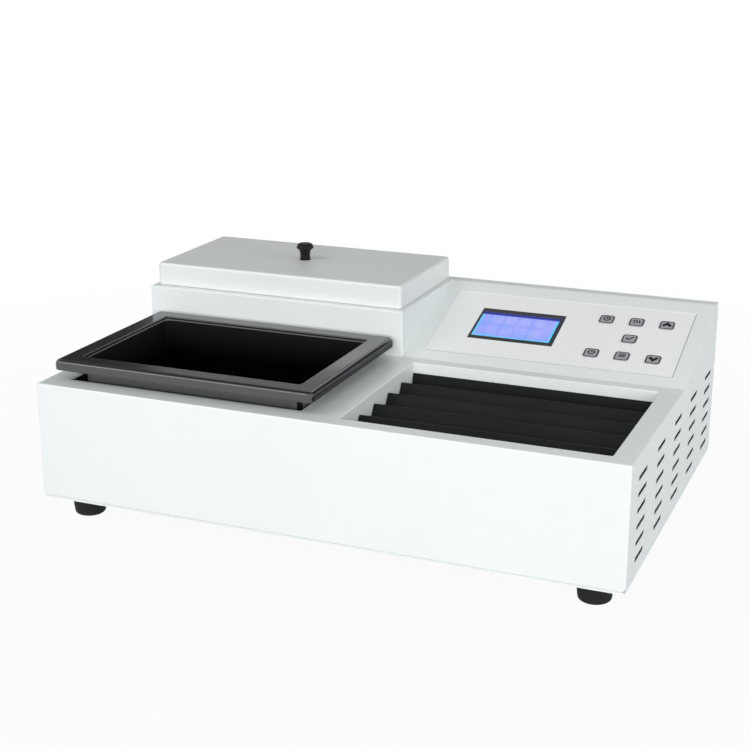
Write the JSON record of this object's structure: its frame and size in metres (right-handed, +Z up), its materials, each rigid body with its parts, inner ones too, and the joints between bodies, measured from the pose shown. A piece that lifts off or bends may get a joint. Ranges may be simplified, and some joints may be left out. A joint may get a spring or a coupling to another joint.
{
  "type": "tissue flotation bath",
  "caption": "Heated bench cabinet with a lift-out black water pan, a sunken sawtooth slide rack, a lidded drying chamber and a sloping keypad with a display.",
  "frame": {"origin": "centre of the cabinet's footprint, on the table plane that the feet stand on", "axes": "+X to the right seen from the front, +Y to the rear, +Z up"},
  "size_m": [0.51, 0.335, 0.2],
  "materials": {
    "cabinet_paint": "white powder coat, fine texture",
    "lid_paint": "white powder coat",
    "base_steel": "zinc plated sheet",
    "screw_steel": "zinc plated",
    "stainless": "brushed stainless sheet",
    "foot_rubber": "matte black",
    "pan_black": "black satin coating",
    "rack_black": "black anodised, matte",
    "heater_aluminium": "plain",
    "heater_silicone": "red silicone",
    "insulation_wool": "mineral wool",
    "gasket_silicone": "grey silicone",
    "thermostat_metal": "pressed cap",
    "overlay_film": "printed polyester film",
    "key_grey": "matte",
    "bezel_black": "satin black",
    "display_glass": "clear",
    "backlight_blue": "lit diffuser",
    "board_green": "solder mask",
    "standoff_brass": "nickel plated",
    "switch_black": "moulded",
    "transformer_core": "varnished laminations",
    "relay_blue": "moulded",
    "inlet_black": "moulded",
    "pin_metal": "nickel plated",
    "fuse_glass": "clear tube",
    "rocker_black": "moulded",
    "knob_black": "polished"
  },
  "bodies": {
    "cabinet": {"front_panel": "cabinet_paint", "left_side_panel": "cabinet_paint", "right_side_panel": "cabinet_paint", "deck_plate": "cabinet_paint", "chamber_surround": "cabinet_paint", "control_fascia": "cabinet_paint", "rear_panel": "cabinet_paint", "base_plate": "cabinet_paint", "base_brackets": "base_steel", "foot_front_left": "foot_rubber", "foot_front_right": "foot_rubber", "foot_rear_left": "foot_rubber", "foot_rear_right": "foot_rubber", "foot_screws": "screw_steel", "base_screws": "screw_steel", "panel_screws": "screw_steel", "bath_well": "stainless", "bath_heater_plate": "heater_aluminium", "bath_heater_mat": "heater_silicone", "bath_insulation": "insulation_wool", "rack_tray": "cabinet_paint", "slide_rack": "rack_black", "rack_heater_mat": "heater_silicone", "rack_insulation": "insulation_wool", "chamber_liner": "stainless", "chamber_hot_plate": "heater_aluminium", "chamber_heater_mat": "heater_silicone", "chamber_insulation": "insulation_wool", "chamber_gasket": "gasket_silicone", "safety_thermostats": "thermostat_metal", "keypad_overlay": "overlay_film", "key_switches": "switch_black", "control_board": "board_green", "display_board": "board_green", "power_board": "board_green", "board_standoffs": "standoff_brass", "display_bezel": "bezel_black", "display_glass": "display_glass", "display_backlight": "backlight_blue", "transformer": "transformer_core", "relays": "relay_blue", "inlet_body": "inlet_black", "inlet_pins": "pin_metal", "rocker_frame": "inlet_black"},
    "lid": {"lid_shell": "lid_paint", "lid_inner_tray": "stainless", "lid_insulation": "insulation_wool", "lid_knob": "knob_black", "knob_screw": "screw_steel"},
    "pan": {"bath_pan": "pan_black"},
    "rocker": {"power_rocker": "rocker_black"},
    "fuse_carrier": {"fuse_drawer": "inlet_black", "fuse": "fuse_glass"},
    "key_lower_left_cap": {"key_lower_left": "key_grey"},
    "key_lower_middle_cap": {"key_lower_middle": "key_grey"},
    "key_down_cap": {"key_down": "key_grey"},
    "key_centre_cap": {"key_centre": "key_grey"},
    "key_upper_left_cap": {"key_upper_left": "key_grey"},
    "key_upper_middle_cap": {"key_upper_middle": "key_grey"},
    "key_up_cap": {"key_up": "key_grey"}
  },
  "joints": [
    {"name": "lid_lift", "type": "slide", "parent": "cabinet", "child": "lid", "axis": [0, 0, 1], "range_m": [0, 0.12]},
    {"name": "pan_lift", "type": "slide", "parent": "cabinet", "child": "pan", "axis": [0, 0, 1], "range_m": [0, 0.12]},
    {"name": "key_lower_left_press", "type": "slide", "parent": "cabinet", "child": "key_lower_left_cap", "axis": [0, 0.2987, -0.9544], "range_m": [0, 0.0004], "stiffness_N_per_m": 2000, "springref_m": -0.0002},
    {"name": "key_lower_middle_press", "type": "slide", "parent": "cabinet", "child": "key_lower_middle_cap", "axis": [0, 0.2987, -0.9544], "range_m": [0, 0.0004], "stiffness_N_per_m": 2000, "springref_m": -0.0002},
    {"name": "key_down_press", "type": "slide", "parent": "cabinet", "child": "key_down_cap", "axis": [0, 0.2987, -0.9544], "range_m": [0, 0.0004], "stiffness_N_per_m": 2000, "springref_m": -0.0002},
    {"name": "key_centre_press", "type": "slide", "parent": "cabinet", "child": "key_centre_cap", "axis": [0, 0.2987, -0.9544], "range_m": [0, 0.0004], "stiffness_N_per_m": 2000, "springref_m": -0.0002},
    {"name": "key_upper_left_press", "type": "slide", "parent": "cabinet", "child": "key_upper_left_cap", "axis": [0, 0.2987, -0.9544], "range_m": [0, 0.0004], "stiffness_N_per_m": 2000, "springref_m": -0.0002},
    {"name": "key_upper_middle_press", "type": "slide", "parent": "cabinet", "child": "key_upper_middle_cap", "axis": [0, 0.2987, -0.9544], "range_m": [0, 0.0004], "stiffness_N_per_m": 2000, "springref_m": -0.0002},
    {"name": "key_up_press", "type": "slide", "parent": "cabinet", "child": "key_up_cap", "axis": [0, 0.2987, -0.9544], "range_m": [0, 0.0004], "stiffness_N_per_m": 2000, "springref_m": -0.0002},
    {"name": "rocker_tilt", "type": "hinge", "parent": "cabinet", "child": "rocker", "pos_m": [0.138, 0.1629, 0.062], "axis": [0, 0, 1], "range_deg": [-18, 0]},
    {"name": "fuse_drawer_slide", "type": "slide", "parent": "cabinet", "child": "fuse_carrier", "axis": [0, 1, 0], "range_m": [0, 0.012]}
  ]
}
